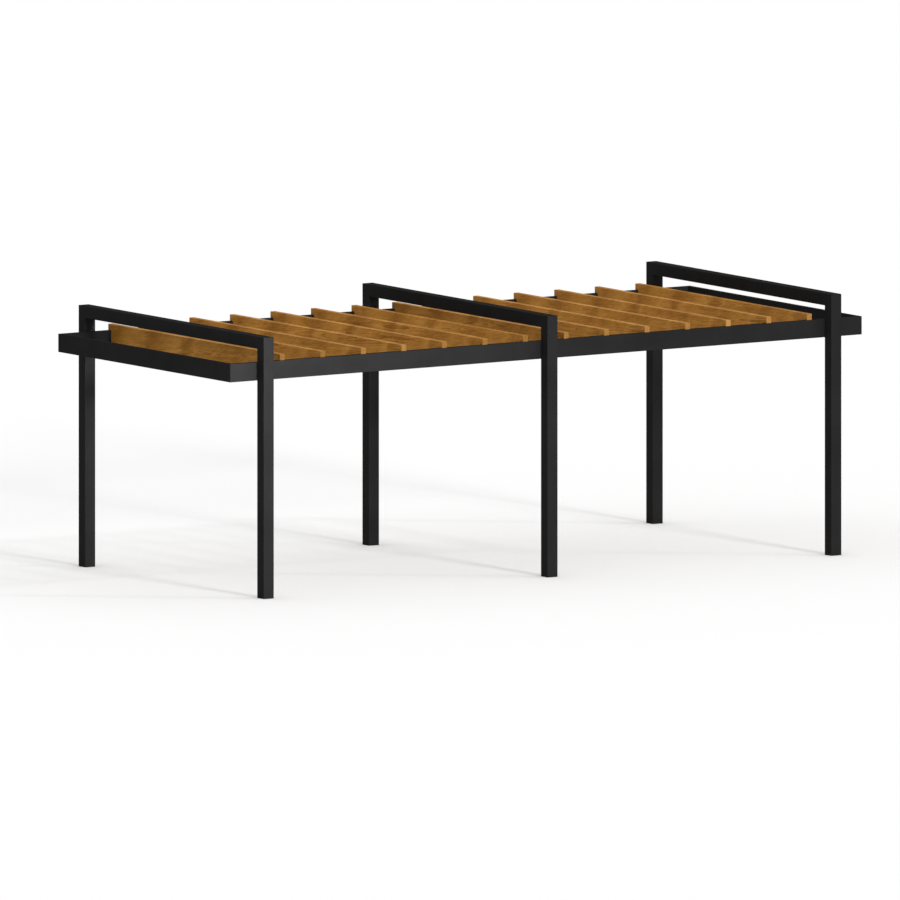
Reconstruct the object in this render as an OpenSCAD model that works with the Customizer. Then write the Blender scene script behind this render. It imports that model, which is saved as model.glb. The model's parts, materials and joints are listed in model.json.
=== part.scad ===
// Flat-roofed pergola. Three steel portals stand in a row, a flat steel ring
// hangs between their posts, and timber rafters lie across the ring.
// Millimetres. +X runs along the pergola, +Z is up, and the origin is on the
// ground in the middle of the post layout.

/* [Portals] */
// Distance between the centre lines of neighbouring portals
bay_length = 3500; // [2400:10:4500]
// Width of a portal over the outside of its posts
portal_width = 3490; // [2400:10:4500]
// Height of a portal, from the ground to the top of its beam
portal_height = 2715; // [2640:5:3200]
// Side of the square tube that the portals are made of
tube_side = 125; // [80:5:140]
// Wall of the square tube
tube_wall = 5; // [3:0.5:8]
// Outside corner radius of the square tube
tube_radius = 3; // [2:0.5:12]
// Thickness of the plate that closes the foot of each post
foot_plate = 10; // [5:1:20]

/* [Ring beam] */
// Clear height from the ground to the underside of the ring
ring_clearance = 2260; // [2000:5:2300]
// Depth of the ring's box section, from its underside to its top
ring_depth = 190; // [160:5:200]
// Thickness of the ring's box section, from its outer to its inner face
ring_thickness = 50; // [40:5:80]
// Wall of the ring's box section
ring_wall = 4; // [2:0.5:6]
// Outside corner radius of the ring's box section
ring_radius = 3; // [2:0.5:10]
// How far the ring runs past the centre line of an end portal
ring_overhang = 395; // [200:5:800]

/* [Rafters] */
// Number of rafters between two portals
rafters_per_bay = 7; // [3:1:9]
// Thickness of a rafter, along the pergola
rafter_thickness = 60; // [40:5:80]
// Full depth of a rafter between the side beams
rafter_depth = 200; // [140:5:240]
// Height of a rafter's top above the top of the ring
rafter_rise = 65; // [45:5:90]
// Play between a rafter's notch and the inner face of a side beam
notch_play = 4; // [1:0.5:10]

/* [Hidden] */
// Overrun of every cut past the face that it opens
cut_overrun = 5;
// Smoothness of the round tube corners
$fn = 48;

steel_colour = "#2b2b2b";
timber_colour = "#8a5a24";

// Names along the pergola and across it, which also count the portals and their posts
PORTALS = ["left", "middle", "right"];
SIDES = ["front", "back"];
ENDS = ["left", "right"];

portal_count = len(PORTALS);
rafter_count = rafters_per_bay * (portal_count - 1);
rafter_pitch = bay_length / rafters_per_bay;

// The ring fits between the posts, so its side beams lie against their inner faces
ring_width = portal_width - 2 * tube_side;
ring_length = bay_length * (portal_count - 1) + 2 * ring_overhang;
ring_top = ring_clearance + ring_depth;

// Each end of a rafter is cut back below the ring's top to pass inside the side beam
notch_length = ring_thickness + notch_play;
rafter_top = ring_top + rafter_rise;
rafter_underside = rafter_top - rafter_depth;

// Places along the pergola
function portal_x(p) = (p - (portal_count - 1) / 2) * bay_length;
function rafter_x(i) = portal_x(0) + rafter_pitch / 2 + i * rafter_pitch;

// Names of the repeated pieces
function post_name(p, s) = str(SIDES[s], "_", PORTALS[p], "_post");
function top_beam_name(p) = str(PORTALS[p], "_top_beam");
function side_beam_name(s) = str(SIDES[s], "_side_beam");
function end_beam_name(e) = str(ENDS[e], "_end_beam");
function rafter_name(i) = str("rafter_", i < 9 ? "0" : "", i + 1);

portals = [for (p = [0 : portal_count - 1]) p];
sides = [for (s = [0 : len(SIDES) - 1]) s];
ends = [for (e = [0 : len(ENDS) - 1]) e];
rafters = [for (i = [0 : rafter_count - 1]) i];

// Rectangle from the origin with round corners, or sharp ones for a radius of zero
module rounded_rect(width, depth, radius) {
    translate([radius, 0]) square([width - 2 * radius, depth]);
    translate([0, radius]) square([width, depth - 2 * radius]);
    if (radius > 0)
        for (x = [radius, width - radius], y = [radius, depth - radius])
            translate([x, y]) circle(r = radius);
}

// Bar along +X whose section lies on the Y and Z axes
module bar(length, width, depth, radius) {
    rotate([90, 0, 90]) linear_extrude(height = length) rounded_rect(width, depth, radius);
}

// Wedge that takes the end at x = 0 off a bar, at 45 degrees, and leaves its face on y = 0 whole
module mitre_wedge(width, depth) {
    near = -cut_overrun;
    far = width + cut_overrun;
    translate([0, 0, near])
        linear_extrude(height = depth + 2 * cut_overrun)
            polygon([[near, near], [far, far], [near, far]]);
}

// Hollow tube along +X with its outer face on y = 0, mitred at its far end and,
// if it has no plate to close it, at its near end too
module mitred_tube(length, width, depth, wall, radius, plate = 0) {
    void_start = plate > 0 ? plate : -cut_overrun;
    difference() {
        bar(length, width, depth, radius);
        translate([void_start, wall, wall])
            bar(
                length + cut_overrun - void_start,
                width - 2 * wall,
                depth - 2 * wall,
                max(radius - wall, 0)
            );
        if (plate == 0) mitre_wedge(width, depth);
        translate([length, 0, 0]) mirror([1, 0, 0]) mitre_wedge(width, depth);
    }
}

// Post: stands on a closed foot and is mitred to the top beam
module post(p, s) {
    color(steel_colour)
        mirror([0, s, 0])
            translate([portal_x(p) + tube_side / 2, -portal_width / 2, 0])
                rotate([0, -90, 0])
                    mitred_tube(portal_height, tube_side, tube_side, tube_wall, tube_radius, foot_plate);
}

// Top beam: joins the two posts of a portal above the roof
module top_beam(p) {
    color(steel_colour)
        translate([portal_x(p) + tube_side / 2, -portal_width / 2, portal_height])
            rotate([-90, 0, 90])
                mitred_tube(portal_width, tube_side, tube_side, tube_wall, tube_radius);
}

// Side beam: long side of the ring, fixed to the inner faces of the posts
module side_beam(s) {
    color(steel_colour)
        mirror([0, s, 0])
            translate([-ring_length / 2, -ring_width / 2, ring_clearance])
                mitred_tube(ring_length, ring_thickness, ring_depth, ring_wall, ring_radius);
}

// End beam: short side of the ring, out past the end portal
module end_beam(e) {
    color(steel_colour)
        mirror([e, 0, 0])
            translate([-ring_length / 2, ring_width / 2, ring_clearance])
                rotate([0, 0, -90])
                    mitred_tube(ring_width, ring_thickness, ring_depth, ring_wall, ring_radius);
}

// Rafter: a board on edge, notched at both ends to sit on the side beams
module rafter(i) {
    outer = ring_width / 2;
    inner = outer - notch_length;
    color(timber_colour)
        translate([rafter_x(i) - rafter_thickness / 2, 0, 0])
            rotate([90, 0, 90])
                linear_extrude(height = rafter_thickness)
                    polygon([
                        [-outer, ring_top],
                        [-inner, ring_top],
                        [-inner, rafter_underside],
                        [inner, rafter_underside],
                        [inner, ring_top],
                        [outer, ring_top],
                        [outer, rafter_top],
                        [-outer, rafter_top]
                    ]);
}

for (p = portals, s = sides)
    post(p, s);
for (p = portals)
    top_beam(p);
for (s = sides)
    side_beam(s);
for (e = ends)
    end_beam(e);
for (i = rafters)
    rafter(i);
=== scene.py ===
"""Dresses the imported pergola: steel portals and ring, timber rafters, weld beads, floor and light."""
import json
import math

import bpy
import numpy as np
from mathutils import Matrix, Vector

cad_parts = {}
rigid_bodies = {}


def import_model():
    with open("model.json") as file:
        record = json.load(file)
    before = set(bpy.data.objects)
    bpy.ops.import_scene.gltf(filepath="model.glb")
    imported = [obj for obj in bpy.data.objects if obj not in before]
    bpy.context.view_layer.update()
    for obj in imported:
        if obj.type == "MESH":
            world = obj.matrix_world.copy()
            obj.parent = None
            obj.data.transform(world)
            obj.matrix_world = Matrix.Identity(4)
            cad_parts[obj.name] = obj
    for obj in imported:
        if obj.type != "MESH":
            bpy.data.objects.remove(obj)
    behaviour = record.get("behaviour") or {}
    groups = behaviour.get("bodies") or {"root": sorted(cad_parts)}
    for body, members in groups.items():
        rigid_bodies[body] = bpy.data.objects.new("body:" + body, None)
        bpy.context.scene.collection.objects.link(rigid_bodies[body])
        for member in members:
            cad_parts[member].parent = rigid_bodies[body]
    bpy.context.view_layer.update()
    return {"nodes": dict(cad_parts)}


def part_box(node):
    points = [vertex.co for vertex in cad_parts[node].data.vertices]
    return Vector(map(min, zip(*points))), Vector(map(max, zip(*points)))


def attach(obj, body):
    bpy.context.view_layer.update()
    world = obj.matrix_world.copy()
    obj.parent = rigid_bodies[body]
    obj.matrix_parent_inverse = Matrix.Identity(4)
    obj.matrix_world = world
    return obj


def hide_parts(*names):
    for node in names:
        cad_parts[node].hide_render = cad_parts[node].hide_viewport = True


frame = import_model()

# Pieces of the frame, by name
PORTALS = ("left", "middle", "right")
SIDES = ("front", "back")
ENDS = ("left", "right")
RAFTERS = sorted(name for name in frame["nodes"] if name.startswith("rafter_"))

# Corner radii and edges in metres
TUBE_RADIUS = 0.003
RING_RADIUS = 0.003
SEAM_EASE = 0.0007
FOOT_EASE = 0.0015
BOARD_ARRIS = 0.004
BOARD_CORNER = 0.005
NOTCH_CORNER = 0.003
CORNER_STEPS = 7
EASE_STEPS = 4

# Play between a rafter's notch and the inner face of a side beam
NOTCH_PLAY = 0.004

# Weld beads between the posts and the ring: radius, share of it left at the tips, ripple and its pitch
BEAD_RADIUS = 0.0048
BEAD_TIP_SHARE = 0.05
BEAD_RIPPLE = 0.00035
BEAD_PITCH = 0.0042

# How far the beads lie off the seam, towards the post and towards the ring, and the steps of their surface
POST_BEAD_OFFSET = 0.0035
RING_BEAD_OFFSET = 0.0028
BEAD_SIDES = 10
BEAD_STEP = 0.0014

# Coated steel: tones, share of the light that it gives back as gloss, gloss left at grazing angles, roughness
STEEL_TONES = ((0.30, (0.0142, 0.0142, 0.0144)), (0.72, (0.0195, 0.0195, 0.0197)))
STEEL_GLOSS = 0.24
STEEL_EDGE_GLOSS = 0.28
STEEL_ROUGHNESS = (0.46, 0.60)

# Noise in the coat: cells a metre, detail and roughness
DUST_NOISE = ((2.3, 2.3, 2.3), 4.0, 0.6)
SAND_NOISE = ((900.0, 900.0, 900.0), 2.0, 0.6)
PEEL_NOISE = ((130.0, 130.0, 130.0), 2.0, 0.5)

# Share of the sand in the coat's tone, the rest being dust
SAND_SHARE = 0.25

# Bumps of the sand and the orange peel: height in metres and strength
SAND_BUMP = (0.00015, 0.5)
PEEL_BUMP = (0.0004, 0.35)

# Oiled timber: tones by lightness, lightness at middling noise, tint of its end grain, gloss and roughness
TIMBER_TONES = (
    (0.15, (0.196, 0.0770, 0.0094)),
    (0.50, (0.362, 0.162, 0.0277)),
    (0.85, (0.515, 0.254, 0.0546)),
)
MIDDLE_LIGHT = 0.577
END_TINT = (0.735, 0.79, 1.155)
TIMBER_GLOSS = 0.05
TIMBER_ROUGHNESS = (0.58, 0.72)

# Bumps of the latewood and the fibre: height in metres and strength
LATEWOOD_BUMP = (0.0004, 0.25)
FIBRE_BUMP = (0.0003, 0.35)

# Layers of timber noise: cells a metre across, along and up the grain, detail, rise along the grain, weight
TIMBER_LAYERS = {
    "blotch": ((10.0, 5.0, 18.0), 5.0, 0.0, 0.36),
    "streak": ((70.0, 3.0, 70.0), 3.0, 0.0, 0.26),
    "fleck": ((60.0, 12.0, 62.0), 4.0, 0.31, 0.56),
    "fibre": ((700.0, 14.0, 700.0), 3.0, 0.0, 0.24),
}
END_STREAK = ((85.0, 1.0, 7.0), 2.0, 0.0, 0.40)
LAYER_ROUGHNESS = 0.6
MIDDLE_NOISE = 0.5

# Growth rings: rings a metre, their sway in metres and its cells a metre
RINGS_PER_METRE = 180.0
RING_SWAY = 0.05
RING_SWAY_CELLS = (4.5, 0.7, 4.5)

# Slow tones of the years: cells a metre out from the pith and along it, detail and weight
YEAR_CELLS = (110.0, 0.7, 1.0)
YEAR_DETAIL = 1.0
YEAR_WEIGHT = 0.26

# Dark latewood: weight, and how sharply it ends a ring
LATEWOOD_WEIGHT = -0.36
LATEWOOD_POWER = 3.0

# Boards: seed of their draws, spread of tone, rise of the grain, place of the pith from a board's middle
BOARD_SEED = 11
TONE_SPREAD = 0.03
GRAIN_RISE = 0.06
PITH_ASIDE = 0.10
PITH_ABOVE = 0.05
PITH_ALONG = 0.4
PITH_SPREAD = 0.4

# Lightness added at each rafter's ends, from the left
END_LIGHT = (0.02, -0.14, 0.07, 0.10, -0.03, 0.01, -0.10, 0.01, -0.03, 0.03, 0.01, 0.31, 0.10, 0.12)

# Bands of figure: place along a rafter towards the back, half width and lightness
FIGURE = (
    (1.41, 0.08, -0.12),
    (1.15, 0.16, 0.11),
    (0.79, 0.13, -0.18),
    (0.36, 0.12, 0.16),
    (0.12, 0.08, -0.15),
    (-0.01, 0.05, 0.12),
    (-0.20, 0.15, 0.04),
    (-0.55, 0.15, -0.09),
    (-0.82, 0.10, -0.11),
    (-1.03, 0.08, 0.04),
    (-1.30, 0.05, 0.16),
    (-1.45, 0.08, -0.07),
)

# How the bands lean with height, how far noise moves them, and the height at which they are in place
FIGURE_LEAN = 0.5
FIGURE_WANDER = 0.30
FIGURE_HEIGHT = 2.45

# Studio: reach, colour and glow of the floor, level of the dome
FLOOR_REACH = 150.0
FLOOR_ALBEDO = 0.8
FLOOR_GLOW = 0.057
DOME_LEVEL = 0.75

# Far lamps: way towards the lamp, width in degrees, light on a face turned to it
FRONT_LAMP = ((0.5, -15.5, 4.45), 9.0, 1.98)
RIGHT_LAMP = ((11.1, -8.9, 8.9), 3.0, 0.36)
TOP_LAMP = ((0.0, 0.0, 10.0), 90.0, 0.62)

# Gloss card: place, aim, size, beam in degrees and watts, and how the names of the pieces it shows on end
GLOSS_CARD = ((-3.0, -40.0, 10.2), (-5.2, 3.6, 4.4), 6.0, 14.4, 2330.0)
GLOSS_PIECES = ("_post_tube", "front_side_beam_box")

# Camera of the photograph: a parallel view, measured in its 900 pixel frame
PHOTO_PIXELS = 900
METRES_PER_PIXEL = 0.0103196
ORIGIN_PIXEL = (459.99, 560.70)
AZIMUTH = math.radians(-33.204)
ELEVATION = math.radians(6.689)
CAMERA_DISTANCE = 30.0
CAMERA_REACH = 500.0

X_AXIS = np.array((1.0, 0.0, 0.0))
Y_AXIS = np.array((0.0, 1.0, 0.0))
Z_AXIS = np.array((0.0, 0.0, 1.0))


# Surfaces

def filleted_outline(corners, radii, steps=CORNER_STEPS):
    """Outline of a right-angled polygon with round corners, as points and outward normals.

    At a corner with edge normals n1 and n2 the normal turns as cos(t) n1 + sin(t) n2, for t from 0 to 90
    degrees. The point is the corner, less s r (n1 + n2), plus s r times that normal, where s is 1 at an outer
    corner and -1 at an inner one. The corners run anticlockwise.
    """
    corners = np.asarray(corners, float)
    radii = np.asarray(radii, float)[:, None, None]
    into = corners - np.roll(corners, 1, axis=0)
    into /= np.linalg.norm(into, axis=1, keepdims=True)
    out = np.roll(into, -1, axis=0)
    n1 = np.stack((into[:, 1], -into[:, 0]), axis=1)[:, None, :]
    n2 = np.stack((out[:, 1], -out[:, 0]), axis=1)[:, None, :]
    side = np.sign(into[:, 0] * out[:, 1] - into[:, 1] * out[:, 0])[:, None, None]
    turn = np.linspace(0, math.pi / 2, steps)[None, :, None]
    normals = np.cos(turn) * n1 + np.sin(turn) * n2
    points = corners[:, None, :] - side * radii * (n1 + n2) + side * radii * normals
    return points.reshape(-1, 2), normals.reshape(-1, 2)


def eased_ends(ease, steps=EASE_STEPS):
    """Quarter round: inset e (1 - sin t) and set-back e (1 - cos t), with t from 0 to 90 degrees."""
    turn = np.linspace(0, math.pi / 2, steps)
    return ease * (1 - np.sin(turn)), ease * (1 - np.cos(turn)), turn


def closed_loft(rings):
    """Faces of a stack of closed rings: quads along and around, and one flat face on each end."""
    ring_count, around = rings.shape[:2]
    index = np.arange(ring_count * around).reshape(ring_count, around)
    here, after = index[:-1], np.roll(index, -1, axis=1)[:-1]
    above, above_after = index[1:], np.roll(index, -1, axis=1)[1:]
    quads = np.stack((here, after, above_after, above), axis=-1).reshape(-1, 4)
    return quads, index[0][::-1], index[-1]


def signed_volume(points, quads):
    """Volume inside the quads: a sixth of the sum of a . (b x c) over their triangles.

    The flat ends are left out: seen from the middle they would only add to the result, so its sign is safe.
    """
    centred = points - points.mean(axis=0)
    a, b, c, d = (centred[quads[:, i]] for i in range(4))
    return (np.einsum("ij,ij->i", a, np.cross(b, c)) + np.einsum("ij,ij->i", a, np.cross(c, d))).sum() / 6


def put_mesh(name, parts, material):
    """One object at the origin from lofts, each of rings and ring normals, with its faces turned outwards."""
    points, normals, faces = [], [], []
    base = 0
    for rings, ring_normals in parts:
        flat = rings.reshape(-1, 3)
        quads, first, last = closed_loft(rings)
        turn = 1 if signed_volume(flat, quads) > 0 else -1
        faces += (quads[:, ::turn] + base).tolist()
        faces += [(end[::turn] + base).tolist() for end in (first, last)]
        points.append(flat)
        normals.append(ring_normals.reshape(-1, 3))
        base += len(flat)
    points = np.concatenate(points)
    normals = np.concatenate(normals)
    normals /= np.linalg.norm(normals, axis=1, keepdims=True)
    mesh = bpy.data.meshes.new(name)
    mesh.from_pydata(points.tolist(), [], faces)
    mesh.polygons.foreach_set("use_smooth", np.ones(len(mesh.polygons), bool))
    mesh.normals_split_custom_set_from_vertices(normals.tolist())
    mesh.materials.append(material)
    piece = bpy.data.objects.new(name, mesh)
    bpy.context.scene.collection.objects.link(piece)
    return piece


def mitred_tube(start, axis, inward, length, width, depth, radius, mitred, eases):
    """Tube with its outer face through start, as rings and ring normals.

    The section is carried along the axis. A point that lies a in from the outer face starts at a and stops at
    length - a where that end is mitred at 45 degrees, so the outer face keeps the whole length.
    """
    across = np.cross(axis, inward)
    corners = ((0, -depth / 2), (width, -depth / 2), (width, depth / 2), (0, depth / 2))
    outline, outward = filleted_outline(corners, (radius,) * len(corners))
    side_normal = outward[:, :1] * inward + outward[:, 1:] * across
    rings, normals = [], []
    for end, (lead, ease) in enumerate(zip(mitred, eases)):
        inset, back, turn = eased_ends(ease)
        section = outline[None] - inset[:, None, None] * outward[None]
        along = lead * section[..., :1] + back[:, None, None]
        facing = -1 if end == 0 else 1
        along = along if end == 0 else length - along
        end_normal = facing * axis + lead * inward
        end_normal = end_normal / np.linalg.norm(end_normal)
        ring = start + along * axis + section[..., :1] * inward + section[..., 1:] * across
        normal = np.cos(turn)[:, None, None] * end_normal + np.sin(turn)[:, None, None] * side_normal[None]
        order = slice(None) if end == 0 else slice(None, None, -1)
        rings.append(ring[order])
        normals.append(normal[order])
    return np.concatenate(rings), np.concatenate(normals)


def notched_board(low, high, seat, shoulder):
    """Board on edge across the pergola, as rings and ring normals stacked through its thickness.

    Its outline in Y and Z is a rectangle whose lower ends are cut away below the seat out to the shoulder,
    and the quarter round of its arrises insets that outline towards both faces.
    """
    front, back = low[1], high[1]
    corners = (
        (front, seat), (front + shoulder, seat), (front + shoulder, low[2]),
        (back - shoulder, low[2]), (back - shoulder, seat), (back, seat),
        (back, high[2]), (front, high[2]),
    )
    radii = (
        BOARD_CORNER, NOTCH_CORNER, BOARD_CORNER, BOARD_CORNER,
        NOTCH_CORNER, BOARD_CORNER, BOARD_CORNER, BOARD_CORNER,
    )
    outline, outward = filleted_outline(corners, radii)
    inset, back_set, turn = eased_ends(BOARD_ARRIS)
    inset = np.concatenate((inset, inset[::-1]))
    place = np.concatenate((low[0] + back_set, (high[0] - back_set)[::-1]))
    tilt = np.concatenate((-np.cos(turn), np.cos(turn)[::-1]))
    lean = np.concatenate((np.sin(turn), np.sin(turn)[::-1]))
    section = outline[None] - inset[:, None, None] * outward[None]
    stack = np.broadcast_to(place[:, None, None], (*section.shape[:2], 1))
    rings = np.concatenate((stack, section), axis=2)
    tilt = np.broadcast_to(tilt[:, None, None], stack.shape)
    normals = np.concatenate((tilt, lean[:, None, None] * outward[None]), axis=2)
    return rings, normals


def weld_bead(start, end):
    """Bead between two points, as rings and ring normals.

    A circle is carried along the line. Its radius is the bead's, less a ripple that follows the cosine of the
    distance, and times the root of sin at the two ends, so that the bead closes in a round tip.
    """
    start, end = np.asarray(start, float), np.asarray(end, float)
    length = np.linalg.norm(end - start)
    axis = (end - start) / length
    side = np.cross(axis, X_AXIS if abs(axis[0]) < 0.5 else Y_AXIS)
    other = np.cross(axis, side)
    run = np.linspace(0, length, int(length / BEAD_STEP))
    to_tip = np.clip(np.minimum(run, length - run) / (2 * BEAD_RADIUS), 0, 1)
    tip = BEAD_TIP_SHARE + (1 - BEAD_TIP_SHARE) * np.sqrt(np.sin(to_tip * math.pi / 2))
    radius = (BEAD_RADIUS - BEAD_RIPPLE * (1 + np.cos(run * 2 * math.pi / BEAD_PITCH))) * tip
    turn = np.linspace(0, 2 * math.pi, BEAD_SIDES, endpoint=False)[:, None]
    spoke = np.cos(turn) * side + np.sin(turn) * other
    rings = start + run[:, None, None] * axis + radius[:, None, None] * spoke[None]
    return rings, np.broadcast_to(spoke[None], rings.shape)


# Finishes

class Nodes:
    """A node tree and short ways to add and join its nodes."""

    def __init__(self, tree):
        self.tree = tree
        tree.nodes.clear()

    def add(self, kind, **settings):
        node = self.tree.nodes.new(kind)
        for key, value in settings.items():
            setattr(node, key, value)
        return node

    def join(self, source, target):
        self.tree.links.new(source, target)

    def math(self, operation, first, second=None, third=None):
        node = self.add("ShaderNodeMath", operation=operation)
        for socket, value in zip(node.inputs, (first, second, third)):
            if isinstance(value, (int, float)):
                socket.default_value = value
            elif value is not None:
                self.join(value, socket)
        return node.outputs[0]

    def shown_rays(self, strength):
        """Strength for rays from the camera, in reflections and through glass, and zero for the rest."""
        path = self.add("ShaderNodeLightPath").outputs
        shown = self.math("MAXIMUM", path["Is Camera Ray"], path["Is Glossy Ray"])
        shown = self.math("MAXIMUM", shown, path["Is Transmission Ray"])
        return self.math("MULTIPLY", shown, strength)


class Finish(Nodes):
    """A material and short ways to build up its surface."""

    def __init__(self, name):
        self.material = bpy.data.materials.new(name)
        self.material.use_nodes = True
        super().__init__(self.material.node_tree)
        self.output = self.add("ShaderNodeOutputMaterial")

    def place(self):
        return self.add("ShaderNodeTexCoord").outputs["Object"]

    def attribute(self, name, output):
        return self.add("ShaderNodeAttribute", attribute_name=name).outputs[output]

    def split(self, vector):
        node = self.add("ShaderNodeSeparateXYZ")
        self.join(vector, node.inputs["Vector"])
        return node.outputs

    def vector(self, x, y, z):
        node = self.add("ShaderNodeCombineXYZ")
        for socket, value in zip(node.inputs, (x, y, z)):
            if value is not None:
                self.join(value, socket)
        return node.outputs["Vector"]

    def noise(self, vector, cells, detail=2.0, roughness=0.5):
        mapping = self.add("ShaderNodeMapping")
        mapping.inputs["Scale"].default_value = cells
        self.join(vector, mapping.inputs["Vector"])
        node = self.add("ShaderNodeTexNoise")
        node.inputs["Scale"].default_value = 1.0
        node.inputs["Detail"].default_value = detail
        node.inputs["Roughness"].default_value = roughness
        self.join(mapping.outputs["Vector"], node.inputs["Vector"])
        return node.outputs["Fac"]

    def ramp(self, factor, stops):
        node = self.add("ShaderNodeValToRGB")
        elements = node.color_ramp.elements
        while len(elements) < len(stops):
            elements.new(0.5)
        for element, (place, colour) in zip(elements, stops):
            element.position = place
            element.color = (*colour, 1.0)
        self.join(factor, node.inputs["Fac"])
        return node.outputs["Color"]

    def tint(self, colour, factors, amount):
        node = self.add("ShaderNodeMix", data_type="RGBA", blend_type="MULTIPLY", clamp_result=False)
        self.join(amount, node.inputs["Factor"])
        self.join(colour, node.inputs[6])
        node.inputs[7].default_value = (*factors, 1.0)
        return node.outputs[2]

    def spread(self, value, low, high):
        node = self.add("ShaderNodeMapRange")
        node.inputs["To Min"].default_value = low
        node.inputs["To Max"].default_value = high
        self.join(value, node.inputs["Value"])
        return node.outputs["Result"]

    def bump(self, height, distance, strength, under=None):
        node = self.add("ShaderNodeBump")
        node.inputs["Distance"].default_value = distance
        node.inputs["Strength"].default_value = strength
        self.join(height, node.inputs["Height"])
        if under is not None:
            self.join(under, node.inputs["Normal"])
        return node.outputs["Normal"]

    def surface(self, colour, roughness, normal, specular=0.0, metallic=0.0, edge_gloss=1.0):
        shader = self.add("ShaderNodeBsdfPrincipled")
        shader.inputs["Specular IOR Level"].default_value = specular
        shader.inputs["Metallic"].default_value = metallic
        shader.inputs["Specular Tint"].default_value = (edge_gloss, edge_gloss, edge_gloss, 1.0)
        self.join(colour, shader.inputs["Base Color"])
        self.join(roughness, shader.inputs["Roughness"])
        self.join(normal, shader.inputs["Normal"])
        self.join(shader.outputs["BSDF"], self.output.inputs["Surface"])


def coated_steel():
    """Satin black coat: fine sandy texture over a slow orange peel, a little dust in its tone and gloss."""
    finish = Finish("coated_steel")
    place = finish.place()
    dust = finish.noise(place, *DUST_NOISE)
    sand = finish.noise(place, *SAND_NOISE)
    peel = finish.noise(place, *PEEL_NOISE)
    tone = finish.math("MULTIPLY_ADD", dust, 1 - SAND_SHARE, finish.math("MULTIPLY", sand, SAND_SHARE))
    colour = finish.ramp(tone, STEEL_TONES)
    roughness = finish.spread(dust, *STEEL_ROUGHNESS)
    normal = finish.bump(sand, *SAND_BUMP, finish.bump(peel, *PEEL_BUMP))
    finish.surface(colour, roughness, normal, metallic=STEEL_GLOSS, edge_gloss=STEEL_EDGE_GLOSS)
    return finish.material


def timber_layer(finish, grain, cells, detail, rise):
    """Noise in cells stretched along the grain, where a rise slants them up along the board."""
    across, along, up = finish.split(grain)
    slanted = finish.vector(across, along, finish.math("MULTIPLY_ADD", along, rise, up))
    return finish.noise(slanted, cells, detail, LAYER_ROUGHNESS)


def growth_rings(finish, grain):
    """Dark latewood and slow tones of the years, by the distance from the pith swayed by noise."""
    across, along, up = finish.split(grain)
    sway = finish.noise(grain, RING_SWAY_CELLS)
    squared = finish.math("MULTIPLY_ADD", up, up, finish.math("MULTIPLY", across, across))
    swayed = finish.math("MULTIPLY_ADD", sway, RING_SWAY, finish.math("SQRT", squared))
    ring = finish.math("FRACT", finish.math("MULTIPLY", swayed, RINGS_PER_METRE))
    years = finish.noise(finish.vector(swayed, along, None), YEAR_CELLS, YEAR_DETAIL)
    return finish.math("POWER", ring, LATEWOOD_POWER), years


def oiled_timber():
    """Amber oiled softwood: growth rings, layers of long noise, bands of figure and paler end grain."""
    finish = Finish("oiled_timber")
    grain = finish.attribute("grain", "Vector")
    end = finish.attribute("end_grain", "Fac")
    layers = {name: timber_layer(finish, grain, *layer[:3]) for name, layer in TIMBER_LAYERS.items()}
    latewood, years = growth_rings(finish, grain)

    weights = YEAR_WEIGHT + sum(layer[3] for layer in TIMBER_LAYERS.values())
    light = finish.math("ADD", finish.attribute("tone", "Fac"), MIDDLE_LIGHT - weights * MIDDLE_NOISE)
    light = finish.math("ADD", light, figure_bands(finish, layers["blotch"]))
    light = finish.math("MULTIPLY_ADD", latewood, LATEWOOD_WEIGHT, light)
    light = finish.math("MULTIPLY_ADD", years, YEAR_WEIGHT, light)
    for name, layer in TIMBER_LAYERS.items():
        light = finish.math("MULTIPLY_ADD", layers[name], layer[3], light)
    streaks = finish.math("SUBTRACT", timber_layer(finish, grain, *END_STREAK[:3]), MIDDLE_NOISE)
    light = finish.math("MULTIPLY_ADD", finish.math("MULTIPLY", streaks, END_STREAK[3]), end, light)

    colour = finish.tint(finish.ramp(light, TIMBER_TONES), END_TINT, end)
    roughness = finish.spread(layers["streak"], *TIMBER_ROUGHNESS)
    normal = finish.bump(latewood, *LATEWOOD_BUMP, finish.bump(layers["fibre"], *FIBRE_BUMP))
    finish.surface(colour, roughness, normal, specular=TIMBER_GLOSS)
    return finish.material


def figure_bands(finish, ragged):
    """Sum of soft bands across the board, each its lightness times exp(-x squared).

    x is the distance from the band's centre over its half width, leant with height and made ragged by noise.
    """
    _, along, height = finish.split(finish.place())
    lean = finish.math("MULTIPLY", finish.math("SUBTRACT", height, FIGURE_HEIGHT), FIGURE_LEAN)
    push = finish.math("MULTIPLY", finish.math("SUBTRACT", ragged, MIDDLE_NOISE), FIGURE_WANDER)
    moved = finish.math("ADD", along, finish.math("ADD", lean, push))
    total = None
    for centre, half_width, lightness in FIGURE:
        x = finish.math("DIVIDE", finish.math("SUBTRACT", moved, centre), half_width)
        hill = finish.math("EXPONENT", finish.math("MULTIPLY", finish.math("MULTIPLY", x, x), -1.0))
        total = finish.math("MULTIPLY_ADD", hill, lightness, 0.0 if total is None else total)
    return total


def studio_floor():
    """Plain white floor that keeps shadows, with a small glow that lifts its open stretches to white."""
    finish = Finish("studio_floor")
    diffuse = finish.add("ShaderNodeBsdfDiffuse")
    diffuse.inputs["Color"].default_value = (FLOOR_ALBEDO, FLOOR_ALBEDO, FLOOR_ALBEDO, 1.0)
    glow = finish.add("ShaderNodeEmission")
    finish.join(finish.shown_rays(FLOOR_GLOW), glow.inputs["Strength"])
    both = finish.add("ShaderNodeAddShader")
    finish.join(diffuse.outputs["BSDF"], both.inputs[0])
    finish.join(glow.outputs["Emission"], both.inputs[1])
    finish.join(both.outputs["Shader"], finish.output.inputs["Surface"])
    return finish.material


# Pieces

steel = coated_steel()
timber = oiled_timber()


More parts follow.
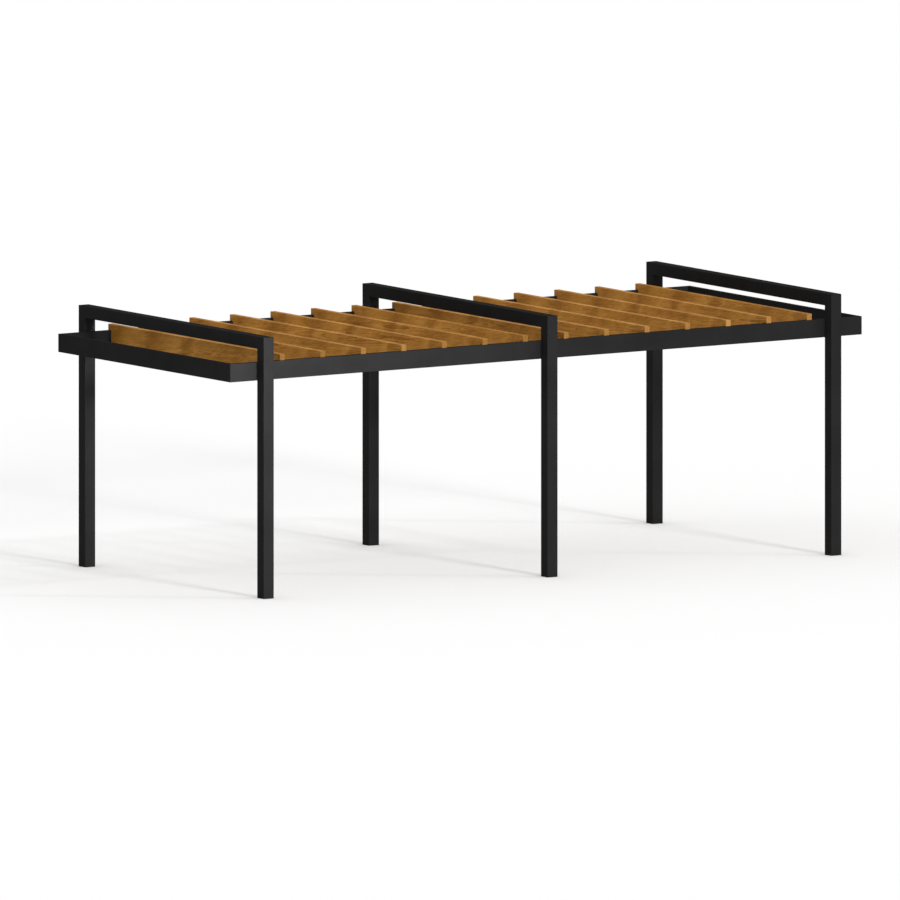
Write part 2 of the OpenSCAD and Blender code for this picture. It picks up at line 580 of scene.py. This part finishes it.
def dress(piece, nodes):
    """The piece stands for its nodes, which it hides, and rides on the one body."""
    if nodes:
        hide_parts(*nodes)
    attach(piece, "root")


def make_post(portal, side):
    """Post from its foot up to the mitre with its top beam."""
    name = f"{side}_{portal}_post"
    low, high = (np.array(corner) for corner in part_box(name))
    size = high - low
    inward = Y_AXIS if side == "front" else -Y_AXIS
    outer = low[1] if side == "front" else high[1]
    start = np.array(((low[0] + high[0]) / 2, outer, low[2]))
    eases = (FOOT_EASE, SEAM_EASE)
    tube = mitred_tube(start, Z_AXIS, inward, size[2], size[1], size[0], TUBE_RADIUS, (0, 1), eases)
    dress(put_mesh(f"{name}_tube", [tube], steel), [name])


def make_top_beam(portal):
    """Top beam with its outer face up, mitred to both posts."""
    name = f"{portal}_top_beam"
    low, high = (np.array(corner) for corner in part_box(name))
    size = high - low
    start = np.array(((low[0] + high[0]) / 2, low[1], high[2]))
    eases = (SEAM_EASE, SEAM_EASE)
    tube = mitred_tube(start, Y_AXIS, -Z_AXIS, size[1], size[2], size[0], TUBE_RADIUS, (1, 1), eases)
    dress(put_mesh(f"{name}_tube", [tube], steel), [name])


def make_side_beam(side):
    """Long side of the ring, with its outer face against the posts."""
    name = f"{side}_side_beam"
    low, high = (np.array(corner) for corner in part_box(name))
    size = high - low
    inward = Y_AXIS if side == "front" else -Y_AXIS
    outer = low[1] if side == "front" else high[1]
    start = np.array((low[0], outer, (low[2] + high[2]) / 2))
    eases = (SEAM_EASE, SEAM_EASE)
    tube = mitred_tube(start, X_AXIS, inward, size[0], size[1], size[2], RING_RADIUS, (1, 1), eases)
    dress(put_mesh(f"{name}_box", [tube], steel), [name])


def make_end_beam(end):
    """Short side of the ring, mitred to its long sides."""
    name = f"{end}_end_beam"
    low, high = (np.array(corner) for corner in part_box(name))
    size = high - low
    inward = X_AXIS if end == "left" else -X_AXIS
    outer = low[0] if end == "left" else high[0]
    start = np.array((outer, low[1], (low[2] + high[2]) / 2))
    eases = (SEAM_EASE, SEAM_EASE)
    tube = mitred_tube(start, Y_AXIS, inward, size[1], size[0], size[2], RING_RADIUS, (1, 1), eases)
    dress(put_mesh(f"{name}_box", [tube], steel), [name])


def make_welds(portal, side):
    """Four beads where the ring lies against a post: two up the post's corners and two along the ring."""
    post_low, post_high = (np.array(corner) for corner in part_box(f"{side}_{portal}_post"))
    ring_low, ring_high = (np.array(corner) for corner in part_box(f"{side}_side_beam"))
    out = -1 if side == "front" else 1
    seam = ring_low[1] if side == "front" else ring_high[1]
    on_post = seam + out * POST_BEAD_OFFSET
    on_ring = seam - out * RING_BEAD_OFFSET
    beads = []
    for x in (post_low[0], post_high[0]):
        beads.append(weld_bead((x, on_post, ring_low[2]), (x, on_post, ring_high[2])))
    for z in (ring_low[2], ring_high[2]):
        beads.append(weld_bead((post_low[0], on_ring, z), (post_high[0], on_ring, z)))
    dress(put_mesh(f"{side}_{portal}_post_welds", beads, steel), [])


def make_rafters():
    """One board for each rafter, its grain set out from a pith beside it and its tone drawn in turn."""
    draws = np.random.default_rng(BOARD_SEED)
    side_low, side_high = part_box("front_side_beam")
    seat = side_high[2]
    shoulder = side_high[1] - side_low[1] + NOTCH_PLAY
    for name, end_light in zip(RAFTERS, END_LIGHT):
        low, high = (np.array(corner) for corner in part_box(name))
        board = notched_board(low, high, seat, shoulder)
        piece = put_mesh(f"{name}_board", [board], timber)
        middle = (low + high) / 2
        drawn = draws.uniform(-1, 1, 5)
        aside = math.copysign(PITH_ASIDE * (1 + PITH_SPREAD * drawn[1]), drawn[0])
        pith = middle + np.array((aside, PITH_ALONG * drawn[2], PITH_ABOVE * drawn[3]))
        grain = board[0].reshape(-1, 3) - pith
        grain[:, 2] += GRAIN_RISE * grain[:, 1]
        end = board[1].reshape(-1, 3)[:, 1] ** 2
        attribute = piece.data.attributes.new("grain", "FLOAT_VECTOR", "POINT")
        attribute.data.foreach_set("vector", grain.astype(np.float32).ravel())
        tone = piece.data.attributes.new("tone", "FLOAT", "POINT")
        tone.data.foreach_set("value", (TONE_SPREAD * drawn[4] + end_light * end).astype(np.float32))
        end_grain = piece.data.attributes.new("end_grain", "FLOAT", "POINT")
        end_grain.data.foreach_set("value", end.astype(np.float32))
        dress(piece, [name])


for portal_name in PORTALS:
    make_top_beam(portal_name)
    for side_name in SIDES:
        make_post(portal_name, side_name)
        make_welds(portal_name, side_name)
for side_name in SIDES:
    make_side_beam(side_name)
for end_name in ENDS:
    make_end_beam(end_name)
make_rafters()


# Stage, light and camera

def make_floor():
    corners = np.array(((-1, -1, 0), (1, -1, 0), (1, 1, 0), (-1, 1, 0))) * FLOOR_REACH
    mesh = bpy.data.meshes.new("floor")
    mesh.from_pydata(corners.tolist(), [], [(0, 1, 2, 3)])
    mesh.materials.append(studio_floor())
    floor = bpy.data.objects.new("floor", mesh)
    bpy.context.scene.collection.objects.link(floor)


def make_dome():
    """Even pale dome that lights the object, and shows as white to the camera and in reflections."""
    world = bpy.data.worlds.new("studio_dome")
    world.use_nodes = True
    nodes = Nodes(world.node_tree)
    background = nodes.add("ShaderNodeBackground")
    background.inputs["Color"].default_value = (1.0, 1.0, 1.0, 1.0)
    output = nodes.add("ShaderNodeOutputWorld")
    strength = nodes.math("ADD", nodes.shown_rays(1.0 - DOME_LEVEL), DOME_LEVEL)
    nodes.join(strength, background.inputs["Strength"])
    nodes.join(background.outputs["Background"], output.inputs["Surface"])
    bpy.context.scene.world = world


def put_lamp(lamp, place, aim):
    """The lamp stands at its place and shines towards the aim."""
    stand = bpy.data.objects.new(lamp.name, lamp)
    stand.location = place
    stand.rotation_euler = (Vector(aim) - Vector(place)).to_track_quat("-Z", "Y").to_euler()
    bpy.context.scene.collection.objects.link(stand)
    return stand


def make_far_lamp(name, way, width, level):
    """Soft lamp so far away that it lights the object and the floor evenly."""
    lamp = bpy.data.lights.new(name, "SUN")
    lamp.angle = math.radians(width)
    lamp.energy = level
    put_lamp(lamp, way, (0.0, 0.0, 0.0))


def make_gloss_card(place, aim, size, beam, watts):
    """Card far in front that shows only as a soft sheen, on the posts and the front of the ring."""
    lamp = bpy.data.lights.new("gloss_card", "AREA")
    lamp.shape = "SQUARE"
    lamp.size = size
    lamp.spread = math.radians(beam)
    lamp.energy = watts
    card = put_lamp(lamp, place, aim)
    card.visible_diffuse = False
    shows_on = bpy.data.collections.new("gloss_card_shows_on")
    for piece in bpy.data.objects:
        if piece.name.endswith(GLOSS_PIECES):
            shows_on.objects.link(piece)
    card.light_linking.receiver_collection = shows_on


def make_camera():
    """Parallel camera of the photograph, aimed so that the part's origin falls on its pixel."""
    right = Vector((math.cos(AZIMUTH), math.sin(AZIMUTH), 0.0))
    back = Vector((
        math.sin(AZIMUTH) * math.cos(ELEVATION), -math.cos(AZIMUTH) * math.cos(ELEVATION), math.sin(ELEVATION)
    ))
    up = back.cross(right)
    middle = PHOTO_PIXELS / 2
    to_middle = right * (middle - ORIGIN_PIXEL[0]) + up * (ORIGIN_PIXEL[1] - middle)
    aim = to_middle * METRES_PER_PIXEL
    data = bpy.data.cameras.new("camera")
    data.type = "ORTHO"
    data.ortho_scale = PHOTO_PIXELS * METRES_PER_PIXEL
    data.clip_end = CAMERA_REACH
    camera = bpy.data.objects.new("camera", data)
    turn = Matrix((right, up, back)).transposed().to_4x4()
    camera.matrix_world = Matrix.Translation(aim + back * CAMERA_DISTANCE) @ turn
    bpy.context.scene.collection.objects.link(camera)
    bpy.context.scene.camera = camera


make_floor()
make_dome()
make_far_lamp("front_lamp", *FRONT_LAMP)
make_far_lamp("right_lamp", *RIGHT_LAMP)
make_far_lamp("top_lamp", *TOP_LAMP)
make_gloss_card(*GLOSS_CARD)
make_camera()
bpy.context.scene.view_settings.view_transform = "Standard"
